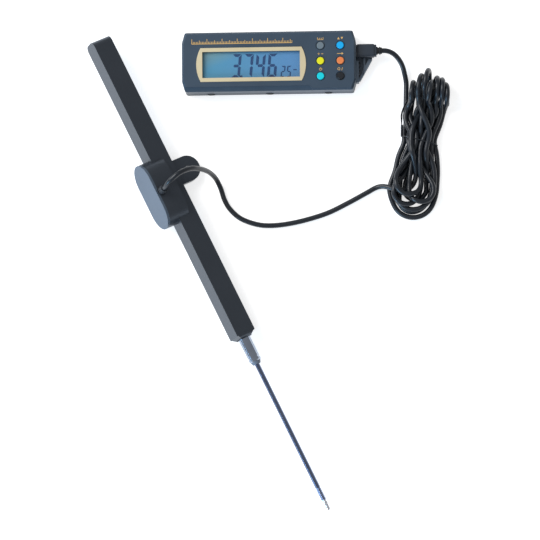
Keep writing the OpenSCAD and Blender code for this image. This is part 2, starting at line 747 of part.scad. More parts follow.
module cable_gland() {
    color([0.1, 0.11, 0.12]) probe() translate([gland_x, gland_y, head_t / 2]) {
        cylinder(d = gland_d, h = 1.2);
        cylinder(d1 = gland_d - 0.6, d2 = cable_d + 0.8, h = gland_l);
        translate([0, 0, -head_wall]) cylinder(r = gland_hole_r - 0.1, h = head_wall + 1);
    }
}

module lathe(x) { translate([x, 0, 0]) rotate([0, 90, 0]) children(); }

bush_d = 5;

module stem() {
    groove = 0.4;
    color([0.82, 0.83, 0.85]) probe() difference() {
        union() {
            lathe(nose_x) cylinder(d = stem_d, h = stem_l - 0.6);
            lathe(stem_end - 0.6 - eps) cylinder(d1 = stem_d, d2 = stem_d - 1, h = 0.6 + eps);
            lathe(cavity_front) cylinder(d = spigot_d - 0.04, h = nose_l + 1);
        }
        lathe(cavity_front - 1) cylinder(d = bush_d, h = nose_l + stem_l + 2);
        lathe(stem_end - 3) rotate_extrude() translate([stem_d / 2 - groove, 0]) square([1, 0.8]);
    }
}

module stem_bush() {
    color([0.7, 0.5, 0.25]) probe() difference() {
        lathe(cavity_front) cylinder(d = bush_d - 0.04, h = nose_l + stem_l);
        lathe(cavity_front - 1) cylinder(r = rod_d / 2 + run_gap, h = nose_l + stem_l + 2);
    }
}

module wiper_seal() {
    color([0.08, 0.08, 0.09]) probe() difference() {
        lathe(stem_end) cylinder(d1 = stem_d - 1.2, d2 = rod_d + 2, h = seal_l);
        lathe(stem_end - 1) cylinder(r = rod_d / 2 + run_gap, h = seal_l + 2);
    }
}

module bumpers() {
    pad = cavity_t - 1;
    pad_low = beam_w / 2 - beam_wall - 0.3;
    color([0.08, 0.08, 0.09]) probe() {
        difference() {
            translate([cavity_front - bumper_t, -pad_low, -pad / 2]) cube([bumper_t, pad_low + carriage_y[1], pad]);
            lathe(cavity_front - bumper_t - 1) cylinder(r = rod_d / 2 + 0.6, h = bumper_t + 2);
        }
        translate([cavity_back, -pad_low, -pad / 2]) cube([bumper_t, pad_low + carriage_y[1], pad]);
    }
}

rod_in = 6;

module spindle_rod() {
    color([0.78, 0.8, 0.83]) probe() lathe(carriage_front - rod_in)
        cylinder(d = rod_d, h = rod_end - carriage_front + rod_in);
}

// Knurled holder with a waist, a collar and a ball end, turned in one piece
module contact_point() {
    collar_d = rod_d + 0.5;
    waist = 0.4;
    ribs = floor(knurl_l / 1.25) - 1;
    color([0.8, 0.82, 0.85]) probe() {
        lathe(rod_end) cylinder(d = rod_d - waist, h = knurl_l);
        for (k = [0:ribs - 1]) lathe(rod_end + 1 + k * 1.25) cylinder(d = rod_d, h = 0.85);
        lathe(knurl_end) cylinder(d = collar_d, h = 1.4);
        lathe(knurl_end + 1.4) cylinder(d1 = collar_d, d2 = 2 * tip_r, h = 0.8);
        lathe(knurl_end + 1) cylinder(r = tip_r, h = tip_l - 1 - tip_r);
        translate([tip_end - tip_r, 0, 0]) rotate([0, 90, 0]) sphere(tip_r);
    }
}

carriage_t = cavity_t - 0.6;
carriage_y = [glass_y + glass_t, beam_w / 2 - cover_t - 0.8 - 0.4];

module carriage() {
    foot = 8;
    color([0.5, 0.52, 0.55]) probe() difference() {
        translate([carriage_front - carriage_l, carriage_y[0], -carriage_t / 2])
            cube([carriage_l, carriage_y[1] - carriage_y[0], carriage_t]);
        lathe(carriage_front - rod_in - seat) cylinder(d = rod_d, h = rod_in + 1);
        for (s = [-1, 1]) translate([carriage_front - carriage_l + foot, carriage_y[0] - 1, s * carriage_t / 2])
            translate([0, 0, s > 0 ? -0.8 : 0]) translate([0, 0, s > 0 ? 0 : 0])
                cube([carriage_l - 2 * foot, big, 0.8]);
    }
}

module glass_scale() {
    color([0.75, 0.85, 0.85, 0.5]) probe() translate([carriage_front - carriage_l + 0.5, glass_y, -glass_w / 2])
        cube([carriage_l - 1, glass_t, glass_w]);
}

// ---------- nodes ----------

rear_shell();
front_shell();
trim_ring();
window();
readout_panel();
circuit_board();
key_switches();
key(0, [0.35, 0.37, 0.39]);  // key_mode
key(1, [0.02, 0.6, 0.95]);  // key_limit
key(2, [0.98, 0.85, 0.1]);  // key_sign
key(3, [0.98, 0.45, 0.25]);  // key_preset
key(4, [0.02, 0.78, 0.78]);  // key_power
key(5, [0.08, 0.09, 0.1]);  // key_zero
coin_cell();
cell_clip();
battery_cap();
shell_screws();
edge_pads();
side_bracket();
bracket_screws();
socket();
plug_tip();
plug_grip();
plug_relief();
cord_lead();
cord_hank();
cord_tie();
cord_run();
cable_gland();
beam_housing();
lug_cover();
cover_screws();
head_shell();
head_lid();
head_screws();
sensor_board();
reader();
stem();
stem_bush();
wiper_seal();
bumpers();
spindle_rod();
contact_point();
carriage();
glass_scale();
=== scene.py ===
# %% [markdown]
# # A long-travel length gauge and its display
# A square beam holds a glass scale. A spindle pushes the scale past a reader in the side head, and a cable takes
# the reading to a small display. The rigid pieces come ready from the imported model. This lesson adds the
# cable, the twist tie and the printed marks, then gives every piece its finish, its light and its camera.

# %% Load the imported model
import json
import math
import bmesh
import bpy
import numpy as np
from mathutils import Matrix, Vector


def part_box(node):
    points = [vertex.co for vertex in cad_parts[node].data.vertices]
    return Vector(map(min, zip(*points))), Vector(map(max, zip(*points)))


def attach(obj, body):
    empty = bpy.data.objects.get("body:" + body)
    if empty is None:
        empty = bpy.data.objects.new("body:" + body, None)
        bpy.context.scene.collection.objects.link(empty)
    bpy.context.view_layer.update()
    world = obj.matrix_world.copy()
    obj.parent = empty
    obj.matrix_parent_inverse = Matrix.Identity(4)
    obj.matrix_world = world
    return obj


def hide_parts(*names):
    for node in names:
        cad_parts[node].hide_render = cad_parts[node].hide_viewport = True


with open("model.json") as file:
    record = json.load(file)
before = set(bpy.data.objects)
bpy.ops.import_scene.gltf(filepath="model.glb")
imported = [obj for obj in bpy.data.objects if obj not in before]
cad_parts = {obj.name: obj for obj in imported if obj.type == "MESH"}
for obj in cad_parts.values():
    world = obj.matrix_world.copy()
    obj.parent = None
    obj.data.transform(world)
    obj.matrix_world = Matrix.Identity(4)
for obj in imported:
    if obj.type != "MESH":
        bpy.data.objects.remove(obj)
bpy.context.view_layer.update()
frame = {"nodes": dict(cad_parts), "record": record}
nodes = frame["nodes"]
scene = bpy.context.scene
MM = 0.001

# %% [markdown]
# ## The camera
# The gauge is seen from almost straight above, from far away. A long lens keeps the perspective weak. The camera
# rolls by about half a degree, so the display's long side rises a little to the right.

# %% Camera
TARGET = Vector((-1.07, -133.62, 0.0)) * MM
TOWARD = Vector((0.0513, -0.1094, 1.0)).normalized()
DISTANCE = 2.58
ROLL = math.radians(0.45)

right = Vector((0, 1, 0)).cross(TOWARD).normalized()
up = TOWARD.cross(right)
cam_x = right * math.cos(ROLL) - up * math.sin(ROLL)
cam_y = right * math.sin(ROLL) + up * math.cos(ROLL)
camera_data = bpy.data.cameras.new("camera")
camera_data.lens = 266.7
camera_data.sensor_width = 36.0
camera_data.clip_end = 20.0
camera = bpy.data.objects.new("camera", camera_data)
scene.collection.objects.link(camera)
place = Matrix((cam_x, cam_y, TOWARD)).transposed().to_4x4()
place.translation = TARGET + TOWARD * DISTANCE
camera.matrix_world = place
scene.camera = camera

# %% [markdown]
# ## The cable
# The cable leaves the plug, runs into a hank of seven loops that a twist tie holds, and goes on to the gland on
# the probe's head. Its two free runs follow the same points as the solids they stand for. The loops are
# written as a loop of code: each one goes down to a wide bend on the bench, comes back under the tie and folds
# upright at the hank's upper end.

# %% Routes of the two free runs, in metres
CABLE_D = 3.3 * MM
LEAD_ROUTE = [(0.0729, 0.00675, 0.0095), (0.0765, 0.0065, 0.0093), (0.0805, 0.0047, 0.0082),
    (0.0839, 0.0011, 0.0064), (0.0861, -0.0033, 0.0046), (0.0874, -0.0087, 0.003), (0.0882, -0.014, 0.002)]
RUN_ROUTE = [(0.0778, -0.0787, 0.002), (0.0695, -0.0807, 0.0017), (0.0615, -0.0848, 0.0017),
    (0.0501, -0.0909, 0.0017), (0.0372, -0.0971, 0.0017), (0.0242, -0.1012, 0.0017), (0.0118, -0.1039, 0.0017),
    (0.0003, -0.105, 0.0017), (-0.0092, -0.1041, 0.0017), (-0.0197, -0.1001, 0.0017), (-0.0267, -0.0937, 0.0017),
    (-0.0302, -0.0874, 0.0017), (-0.0323, -0.0807, 0.0023), (-0.035, -0.075, 0.006), (-0.0379, -0.0721, 0.0125),
    (-0.0407, -0.0711, 0.0205), (-0.0445, -0.071, 0.029), (-0.0494, -0.0718, 0.0366), (-0.0558, -0.0748, 0.0415),
    (-0.0612, -0.0791, 0.0416), (-0.064, -0.0816, 0.0393), (-0.0654, -0.0832, 0.0358), (-0.0665, -0.08365, 0.0331)]

# %% Directions along and across the hank
HANK_AT = np.array([96.8, -51.8])
HANK_TURN = math.radians(82.2)
ALONG = np.array([math.cos(HANK_TURN), math.sin(HANK_TURN)])
ACROSS = np.array([-math.sin(HANK_TURN), math.cos(HANK_TURN)])
R = CABLE_D / MM / 2


def low_bend(radius, middle, lowest, z):
    """Points of a flat bend at the hank's lower end, from its left side to its right side."""
    centre = lowest + radius
    turn = np.radians([0, 22.5, 45, 67.5, 90, 112.5, 135, 157.5, 180])
    return [(centre - radius * math.sin(a), middle + radius * math.cos(a), z) for a in turn]


def high_fold(tip, across, lean, high, low):
    """Points of a leaning fold at the hank's upper end, from its upper strand to its lower one."""
    radius = math.hypot(lean, high)
    centre = tip - R - radius
    turn = np.radians([90, 60, 30, 0, -30, -60, -90])
    return [(centre + radius * math.cos(a), across + lean * math.sin(a), low + high * (1 + math.sin(a)))
        for a in turn]


# %% Loops of the hank, in millimetres along it, across it and up
# Each loop: low bend (radius, middle, lowest, z), rising strand at the tie, fold (tip, across, lean, high, low),
# falling strand at the tie, and how far across the falling strand passes under the others
LOOPS = [((13.9, 0.2, -49.6, 1.7), (-8.4, 2.5), (41.2, -11.4, -1.2, 8.7, 1.7), (5.75, 2.5), -2.0),
    ((10.6, 0.3, -45.4, 1.7), (-6.6, 5.5), (44.6, -9.2, -1.5, 7.9, 1.7), (2.2, 2.5), -5.2),
    ((12.2, 0.3, -45.2, 4.6), (-3.05, 5.5), (45.8, -6.3, -1.8, 7.6, 1.7), (-4.85, 2.5), -3.9),
    ((8.0, 0.7, -41.4, 4.6), (-4.8, 8.4), (45.0, 4.2, 1.0, 7.7, 1.7), (-1.3, 2.5), 4.0),
    ((8.8, 4.6, -42.6, 7.6), (0.45, 5.5), (49.2, 0.2, 0.9, 7.7, 1.7), (7.5, 5.5), 1.2),
    ((9.0, -4.7, -40.8, 8.6), (3.95, 5.5), (40.4, 9.0, 0.7, 8.7, 1.7), (2.2, 8.4), 6.8),
    ((7.0, 4.9, -39.0, 10.8), (-1.3, 8.4), (43.6, -2.9, 0.3, 7.5, 5.4), (5.7, 8.4), -0.6)]

# %% String the loops together
hank_path = [(27.0, 12.7, 1.7), (18.0, 11.5, 1.7), (8.0, 10.0, 2.0), (0.0, 9.3, 2.5), (-12.0, 11.0, 1.7),
    (-24.0, 13.0, 1.7)]
fallen = None
for bend, rise, fold, fall, under in LOOPS:
    left, right, level = bend[1] + bend[0], bend[1] - bend[0], bend[3]
    if fallen:
        hank_path += [(-10.0, fallen[0] * 0.62 + left * 0.38, (fallen[1] * 2 + level) / 3),
            (-20.0, fallen[0] * 0.22 + left * 0.78, (fallen[1] + level * 2) / 3)]
    hank_path += low_bend(*bend)
    hank_path += [(-22.0, rise[0] * 0.2 + right * 0.8, (rise[1] + level * 3) / 4),
        (-11.0, rise[0] * 0.6 + right * 0.4, (rise[1] + level) / 2), (0.0, *rise)]
    top, low = fold[1] + fold[2], fold[1] - fold[2]
    hank_path += [(12.0, rise[0] * 0.6 + top * 0.4, rise[1] + 0.6), (23.0, rise[0] * 0.2 + top * 0.8, rise[1] + 2.4)]
    hank_path += high_fold(*fold)
    hank_path += [(27.0, under * 0.4 + low * 0.6, fold[4]), (20.0, under, fold[4]),
        (10.0, (under + fall[0]) / 2, (fold[4] + fall[1]) / 2), (0.0, *fall)]
    fallen = fall
hank_path += [(-9.0, 4.0, 9.4), (-18.0, 1.6, 9.4), (-27.0, 0.6, 7.6), (-32.5, 2.2, 6.0), (-34.4, 6.0, 5.2),
    (-33.2, 10.2, 4.9), (-30.4, 15.0, 4.4)]


def to_bench(p):
    """A point of the hank's own frame, in millimetres on the bench."""
    flat = HANK_AT + p[0] * ALONG + p[1] * ACROSS
    return (flat[0], flat[1], p[2])


lead_mm = [tuple(c / MM for c in p) for p in LEAD_ROUTE]
run_mm = [tuple(c / MM for c in p) for p in RUN_ROUTE]
rough = np.array(lead_mm + [to_bench(p) for p in hank_path] + run_mm[1:])
print("points set by hand:", len(rough))


# %% Smooth the route and space it evenly
def smooth_line(points, per=10):
    """A curve through all the points, as the solids' tubes have."""
    out = []
    for i in range(len(points) - 1):
        a, b = points[max(0, i - 1)], points[i]
        c, d = points[i + 1], points[min(len(points) - 1, i + 2)]
        for j in range(per):
            t = j / per
            out.append(0.5 * (2 * b + (c - a) * t + (2 * a - 5 * b + 4 * c - d) * t * t
                + (3 * b - a - 3 * c + d) * t ** 3))
    out.append(points[-1])
    return np.array(out)


def even(points, step):
    """The same line with its points a step apart."""
    far = np.concatenate([[0], np.cumsum(np.linalg.norm(np.diff(points, axis=0), axis=1))])
    n = int(round(far[-1] / step))
    at = np.linspace(0, far[-1], n + 1)
    return np.stack([np.interp(at, far, points[:, k]) for k in range(3)], axis=1), far[-1] / n


STEP, FINE_STEP = 2.6, 1.3
line, step = even(smooth_line(rough), STEP)
print("cable before it settles:", round(len(line) * step), "mm")

# %% [markdown]
# ### Letting the loops settle
# Strands that cross in the given route would pass through each other. Some hundred small steps let the cable
# grow to its real thickness and push its strands a diameter apart. They also hold the points near their spacing,
# ease sharp bends and keep all of the cable on the bench. The two free runs are held, and the strands under the tie
# hardly move in these steps.

# %% How freely each point may move
HANK_HALF_LONG, HANK_HALF_WIDE = 54, 17
FREE_ALONG = [-38, -28, -8, -1, 1, 8, 16, 38]
FREE_SHARE = [0.25, 1.0, 1.0, 0.01, 0.01, 1.0, 1.0, 0.08]
HELD_IN, HELD_OUT = 6, 3
LEAD_POINTS, LEAD_SHARE = 54, 0.12


def local_of(p):
    """Points on the bench, in the hank's own frame: along it, across it and up."""
    p = np.atleast_2d(p)
    return np.stack([(p[:, :2] - HANK_AT) @ ALONG, (p[:, :2] - HANK_AT) @ ACROSS, p[:, 2]], axis=1)


local = local_of(line)
in_hank = (np.abs(local[:, 0]) < HANK_HALF_LONG) & (np.abs(local[:, 1]) < HANK_HALF_WIDE)
first, last = np.flatnonzero(in_hank)[[0, -1]]
free = np.interp(local[:, 0], FREE_ALONG, FREE_SHARE)
free[:first + HELD_IN] = 0.0
free[last + HELD_OUT:] = 0.0
free[first + HELD_IN:first + LEAD_POINTS] *= LEAD_SHARE
free = free[:, None]
start_line = line.copy()
print("points in the hank:", int(in_hank.sum()))


# %% Small steps that shape a line of points
def ease_of(p):
    """How far each point lies from a smooth curve through its neighbours."""
    ease = np.zeros_like(p)
    ease[2:-2] = (p[1:-3] + p[3:-1]) / 1.5 - (p[:-4] + p[4:]) / 6 - p[2:-2]
    return ease


def keep_spacing(p, spacing, share):
    """Moves neighbouring points back towards their spacing."""
    link = np.diff(p, axis=0)
    long = np.linalg.norm(link, axis=1, keepdims=True)
    fix = 0.5 * (long - spacing) * link / long
    p[:-1] += share[:-1] * fix
    p[1:] -= share[1:] * fix


def open_bends(p, span, spacing, radius, share, furthest, gain):
    """Moves points out of bends tighter than the radius, which is measured over span points to each side."""
    bent = np.zeros_like(p)
    bent[span:-span] = (p[:-2 * span] + p[2 * span:]) / 2 - p[span:-span]
    reach = np.linalg.norm(bent, axis=1, keepdims=True)
    most = (span * spacing) ** 2 / (2 * radius)
    p += share * bent * np.clip(reach - most, 0, furthest) / np.maximum(reach, 1e-6) * gain


def lift_to_bench(p, share):
    """Lifts free points that sank into the bench."""
    p[:, 2] = np.where(share[:, 0] > 0, np.maximum(p[:, 2], R), p[:, 2])


# %% Settle the loops
SETTLE_TURNS, GROW_TURNS, SMOOTH_TURNS = 560, 360, 30
SPARE, PUSH, EASE, SAG = 0.12, 0.33, 0.5, 0.012
SETTLE_RADIUS = 7.8
index = np.arange(len(line))
far_along = np.abs(index[:, None] - index[None, :]) > 5
ready = np.minimum(free * 3, 1)
for turn in range(SETTLE_TURNS):
    apart = (2 * R + SPARE) * min(1.0, 0.3 + turn / GROW_TURNS)
    away = line[:, None, :] - line[None, :, :]
    gap = np.sqrt((away ** 2).sum(2)) + 1e-6
    close = (gap < apart) & far_along
    push = np.where(close, (apart - gap) / gap, 0.0)
    line += free * (push[:, :, None] * away).sum(1) * PUSH
    line += free * ease_of(line) * EASE
    keep_spacing(line, step, ready)
    open_bends(line, 2, step, SETTLE_RADIUS, ready, 0.6, 0.45)
    line[:, 2] = np.maximum(line[:, 2] - SAG * free[:, 0] ** 2, np.where(free[:, 0] > 0, R, line[:, 2]))
for turn in range(SMOOTH_TURNS):
    line += ready * ease_of(line) * EASE
    lift_to_bench(line, free)
moved = np.linalg.norm(line - start_line, axis=1)
print("most moved:", round(float(moved.max()), 1), "mm")

# %% [markdown]
# Strands that cross between two coarse points still pass through each other. The last steps use half the spacing,
# and they move the strands under the tie as well. They part the strands at the price of slightly tighter folds.

# %% Press the strands apart once more on a finer line
FINE_TURNS, RENEW_PAIRS = 400, 8
FINE_SPARE, FINE_PUSH, FINE_EASE, LEAST_SHARE = 0.1, 0.25, 0.4, 0.5
NEAR_BY, MOST_MOVE = 1.4, 0.4
FINE_RADIUS = 8.6
settled, fine_step = even(smooth_line(line, 3), FINE_STEP)
index = np.arange(len(settled))
loose = np.interp(np.linspace(0, len(free) - 1, len(settled)), np.arange(len(free)), free[:, 0])
loose = np.where(loose > 0, np.maximum(loose, LEAST_SHARE), 0.0)[:, None]
ready, firm = np.minimum(loose * 3, 1), np.minimum(loose * 2, 1)
for turn in range(FINE_TURNS):
    if turn % RENEW_PAIRS == 0:
        away = settled[:, None] - settled[None]
        near = np.einsum("ijk,ijk->ij", away, away) < (2 * R + NEAR_BY) ** 2
        one, other = np.nonzero(near & (index[:, None] - index[None] > 9))
    away = settled[one] - settled[other]
    gap = np.linalg.norm(away, axis=1) + 1e-6
    push = (np.clip(2 * R + FINE_SPARE - gap, 0, None) / gap * FINE_PUSH)[:, None] * away
    move = np.zeros_like(settled)
    np.add.at(move, one, push)
    np.add.at(move, other, -push)
    settled += loose * np.clip(move, -MOST_MOVE, MOST_MOVE)
    settled += loose * ease_of(settled) * FINE_EASE
    keep_spacing(settled, fine_step, ready)
    open_bends(settled, 4, fine_step, FINE_RADIUS, firm, 0.5, 0.35)
    lift_to_bench(settled, loose)
settled[:, 2] = np.maximum(settled[:, 2], R)
away = settled[:, None] - settled[None]
apart = np.sqrt(np.einsum("ijk,ijk->ij", away, away))
apart[np.abs(index[:, None] - index[None]) < 10] = 99.0
print("closest centres of two strands:", round(float(apart.min()), 2), "mm")


# %% Make the cable
def curve_piece(name, lines, radius, sides=6):
    """A round cord that follows one or more lines, in metres."""
    data = bpy.data.curves.new(name, "CURVE")
    data.dimensions = "3D"
    data.bevel_depth = 1.0
    data.bevel_resolution = sides
    data.use_fill_caps = True
    for points in lines:
        spline = data.splines.new("POLY")
        spline.points.add(len(points) - 1)
        for spot, p in zip(spline.points, points):
            spot.co = (*p, 1.0)
            spot.radius = radius
        spline.use_smooth = True
    piece = bpy.data.objects.new(name, data)
    scene.collection.objects.link(piece)
    return piece


cable_line = [tuple(p * MM) for p in settled][::-1]
cable = curve_piece("cable", [cable_line], CABLE_D / 2)
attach(cable, "gauge")
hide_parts("cord_lead", "cord_hank", "cord_run")

# %% [markdown]
# ## The twist tie
# A plastic-covered wire goes once round the hank. Its two ends are twisted together at the left and bent up into
# a small eye. The wire is a thin cord: one line round the bundle, two lines wound about each other, and the eye. The
# ring has a size of its own, so part of it lies inside the outer strands.

# %% Make the tie
TIE_R = 0.38
TIE_SLANT, TIE_HALF_WIDE, TIE_HALF_HIGH, TIE_MIDDLE = 1.7, 11.3, 4.98, 5.38
ring = []
for a in np.radians(np.arange(0, 361, 10)):
    c, s = math.cos(a), math.sin(a)
    round_off = (abs(c) ** 3 + abs(s) ** 3) ** (-1 / 3)
    ring.append((TIE_SLANT * c, TIE_HALF_WIDE * c * round_off, TIE_MIDDLE + TIE_HALF_HIGH * s * round_off))
TWIST_R, TWIST_TURN = 0.42, 54
twist = [[], []]
for k in range(41):
    along, a = 1.4 + k * 0.18, math.radians(k * TWIST_TURN)
    for strand, phase in zip(twist, (0, math.pi)):
        strand.append((along, 12.2 + 0.02 * k + TWIST_R * math.cos(a + phase), 5.4 + TWIST_R * math.sin(a + phase)))
eye = [(8.5, 12.9, 5.5), (11.5, 13.7, 6.0), (15.5, 14.2, 6.4), (20.0, 13.4, 6.6), (24.0, 12.0, 6.2),
    (25.4, 11.2, 5.2), (23.0, 12.2, 4.8), (17.5, 13.7, 4.6), (12.5, 13.5, 5.0), (8.6, 13.1, 5.3)]
tie_lines = [ring, *twist, [tuple(p) for p in smooth_line(np.array(eye), 5)]]
tie = curve_piece("twist_tie", [[tuple(c * MM for c in to_bench(p)) for p in part] for part in tie_lines],
    TIE_R * MM, 2)
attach(tie, "gauge")
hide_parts("cord_tie")

# %% [markdown]
# ## Printed marks
# The digits of the readout, the key marks and the ruler line are thin printed shapes. Each is a flat bmesh outline
# that is given a very small thickness, so it catches light as ink does and stays sharp from close by.

# %% Helper for flat printed shapes
body_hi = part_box("front_shell")[1]
FACE = body_hi[2]
THICK = 0.05
print("face of the display at", round(FACE / MM, 2), "mm")


def flat_shape(mesh, points, z):
    """Adds one filled outline, in millimetres, that stands from z to z + THICK."""
    made = [mesh.verts.new((x * MM, y * MM, z * MM)) for x, y in points]
    face = mesh.faces.new(made)
    grown = bmesh.ops.extrude_face_region(mesh, geom=[face])
    lifted = [v for v in grown["geom"] if isinstance(v, bmesh.types.BMVert)]
    bmesh.ops.translate(mesh, vec=(0, 0, THICK * MM), verts=lifted)


def finish_mesh(mesh, name):
    """Turns a bmesh into a piece that rides on the gauge."""
    bmesh.ops.recalc_face_normals(mesh, faces=mesh.faces[:])
    data = bpy.data.meshes.new(name)
    mesh.to_mesh(data)
    mesh.free()
    piece = bpy.data.objects.new(name, data)
    scene.collection.objects.link(piece)
    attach(piece, "gauge")
    return piece


def bar(mesh, x, y, wide, high, z, lean=0.0):
    """A small upright rectangle about x, y."""
    w, h = wide / 2, high / 2
    flat_shape(mesh, [(x - w - lean * h, y - h), (x + w - lean * h, y - h), (x + w + lean * h, y + h),
        (x - w + lean * h, y + h)], z)


# %% Digits of the readout
SEGMENTS = {"3": "abcdg", "7": "abc", "4": "bcfg", "6": "acdefg", "2": "abdeg", "5": "acdfg"}
panel_lo, panel_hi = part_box("readout_panel")
DIGIT_Z = panel_hi[2] / MM + 0.005
LEAN = 0.09
BIG, SMALL = (6.0, 15.4, 1.8), (2.8, 7.4, 0.85)


def digit(mesh, sign, x, y, wide, high, stroke):
    """A seven-segment digit with its lower left corner at x, y."""
    g, h2, k = stroke * 0.16, high / 2, stroke

    def put(points):
        flat_shape(mesh, [(x + a + LEAN * b, y + b) for a, b in points], DIGIT_Z)

    shapes = {"a": [(g, high), (wide - g, high), (wide - k - g, high - k), (k + g, high - k)],
        "d": [(g, 0), (k + g, k), (wide - k - g, k), (wide - g, 0)],
        "g": [(g + k / 2, h2), (k, h2 + k / 2), (wide - k, h2 + k / 2), (wide - g - k / 2, h2),
            (wide - k, h2 - k / 2), (k, h2 - k / 2)],
        "f": [(0, high - g), (k, high - k - g), (k, h2 + k / 2 + g), (k / 2, h2 + g), (0, h2 + k / 2)],
        "e": [(0, g), (0, h2 - k / 2), (k / 2, h2 - g), (k, h2 - k / 2 - g), (k, k + g)],
        "b": [(wide, high - g), (wide, h2 + k / 2), (wide - k / 2, h2 + g), (wide - k, h2 + k / 2 + g),
            (wide - k, high - k - g)],
        "c": [(wide, g), (wide - k, k + g), (wide - k, h2 - k / 2 - g), (wide - k / 2, h2 - g), (wide, h2 - k / 2)]}
    for name in SEGMENTS[sign]:
        put(shapes[name])


VIEW_X, VIEW_Y = (panel_lo[0] + panel_hi[0]) / 2 / MM, (panel_lo[1] + panel_hi[1]) / 2 / MM
mesh = bmesh.new()
for sign, x in zip("3746", (-13.4, -5.6, 2.2, 10.0)):
    digit(mesh, sign, VIEW_X + x, VIEW_Y - 8.3, *BIG)
bar(mesh, VIEW_X - 6.5, VIEW_Y - 7.6, 1.5, 1.5, DIGIT_Z)
for sign, x in zip("25", (18.8, 22.6)):
    digit(mesh, sign, VIEW_X + x, VIEW_Y - 8.4, *SMALL)
bar(mesh, VIEW_X + 28.2, VIEW_Y - 3.6, 2.2, 0.7, DIGIT_Z)
digits = finish_mesh(mesh, "readout_digits")
print("digits in a view centred at", round(VIEW_X, 2), round(VIEW_Y, 2), "mm")

# %% A ruler line over the trim
mesh = bmesh.new()
Z = FACE / MM - 0.01
RULER_LEFT, RULER_STEP, RULER_TICKS, RULER_Y = -49.6, 0.98, 67, 11.9
for k in range(RULER_TICKS):
    tall = 3.0 if k % 10 == 0 else 2.1 if k % 5 == 0 else 1.3
    bar(mesh, RULER_LEFT + k * RULER_STEP, RULER_Y + tall / 2, 0.34, tall, Z)
bar(mesh, RULER_LEFT + (RULER_TICKS // 2) * RULER_STEP, 11.75, 65.0, 0.36, Z)

# %% Marks above the keys
def ring_mark(mesh, x, y, radius, wide, opening=0.0):
    """A flat ring in short pieces, which may be left open at its top."""
    for k in range(24):
        a, b = (math.radians(90 + opening + (360 - 2 * opening) * (k + j) / 24) for j in (0, 1))
        flat_shape(mesh, [(x + r * math.cos(t), y + r * math.sin(t)) for r, t in
            ((radius - wide, a), (radius, a), (radius, b), (radius - wide, b))], Z)


def above(key):
    """The spot of the mark over a key, in millimetres."""
    lo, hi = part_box(key)
    return (lo[0] + hi[0]) / 2 / MM, hi[1] / MM + 1.7


x, y = above("key_mode")
for k in range(4):
    bar(mesh, x - 1.8 + k * 1.2, y, 0.34, 1.5 if k % 3 == 0 else 0.9, Z)
bar(mesh, x, y - 0.75, 4.0, 0.3, Z)
x, y = above("key_limit")
flat_shape(mesh, [(x - 1.9, y - 0.7), (x - 0.3, y - 0.7), (x - 1.1, y + 0.8)], Z)
flat_shape(mesh, [(x + 0.3, y + 0.8), (x + 1.9, y + 0.8), (x + 1.1, y - 0.7)], Z)
x, y = above("key_sign")
bar(mesh, x - 1.1, y, 1.3, 0.34, Z)
bar(mesh, x - 1.1, y, 0.34, 1.3, Z)
bar(mesh, x + 1.2, y, 1.2, 0.34, Z)
x, y = above("key_preset")
bar(mesh, x - 0.6, y, 3.0, 0.36, Z)
flat_shape(mesh, [(x + 0.9, y - 0.8), (x + 2.1, y), (x + 0.9, y + 0.8)], Z)
x, y = above("key_power")
ring_mark(mesh, x, y, 0.95, 0.3, 35.0)
bar(mesh, x, y + 0.6, 0.32, 1.1, Z)
x, y = above("key_zero")
ring_mark(mesh, x - 1.0, y, 0.9, 0.3)
bar(mesh, x + 1.1, y, 0.34, 1.8, Z, 0.35)
marks = finish_mesh(mesh, "face_marks")
print("marks:", len(marks.data.polygons), "faces")

# %% [markdown]
# ## Ribs on the cable gland
# The soft gland has three ribs that let it bend. Each rib is a short cone from one bmesh operator, set square to
# the gland's own axis.

# %% Make the gland's ribs
GLAND_TOP = Vector(RUN_ROUTE[-1])
GLAND_AXIS = Vector((0.366293, 0.149129, 0.918472)).normalized()
mesh = bmesh.new()
for back, radius in ((0.9, 2.28), (2.3, 2.5), (3.7, 2.72)):
    turn = GLAND_AXIS.to_track_quat("Z", "Y").to_matrix().to_4x4()
    turn.translation = GLAND_TOP - GLAND_AXIS * back * MM
    bmesh.ops.create_cone(mesh, segments=40, cap_ends=True, radius1=(radius + 0.1) * MM, radius2=radius * MM,
        depth=0.75 * MM, matrix=turn)
rims = [e for e in mesh.edges if len(e.link_faces) == 2 and e.calc_face_angle(0) > 0.9]
bmesh.ops.bevel(mesh, geom=rims, offset=0.00012, offset_type="OFFSET", segments=2, profile=0.5, affect="EDGES",
    material=-1)
for face in mesh.faces:
    face.smooth = len(face.verts) == 4
ribs = finish_mesh(mesh, "gland_ribs")
print("gland ribs:", len(ribs.data.polygons), "faces")

# %% [markdown]
# ## Finishes
# Each finish is a small node graph. A wrapper class turns sockets into Python values, so shader maths reads as
# ordinary sums. Patterns are placed in object coordinates, in metres, and every one is procedural.

# %% Wrapper for sockets
class Flow:
    """A socket that can be added, multiplied and compared like a number."""

    def __init__(self, graph, socket):
        self.graph, self.socket = graph, socket

    def math(self, operation, other):
        return self.graph.node("ShaderNodeMath", {"operation": operation}, {0: self, 1: other})

    def __add__(self, other):
        return self.math("ADD", other)

    def __radd__(self, other):
        return self.math("ADD", other)

    def __sub__(self, other):
        return self.math("SUBTRACT", other)

    def __mul__(self, other):
        return self.math("MULTIPLY", other)

    def __gt__(self, other):
        return self.math("GREATER_THAN", other)

    def __lt__(self, other):
        return self.math("LESS_THAN", other)

    def clamp(self):
        return self.graph.node("ShaderNodeClamp", {}, {0: self})

    def part(self, axis):
        out = self.graph.raw("ShaderNodeSeparateXYZ", {}, {0: self})
        return Flow(self.graph, out.outputs[axis])


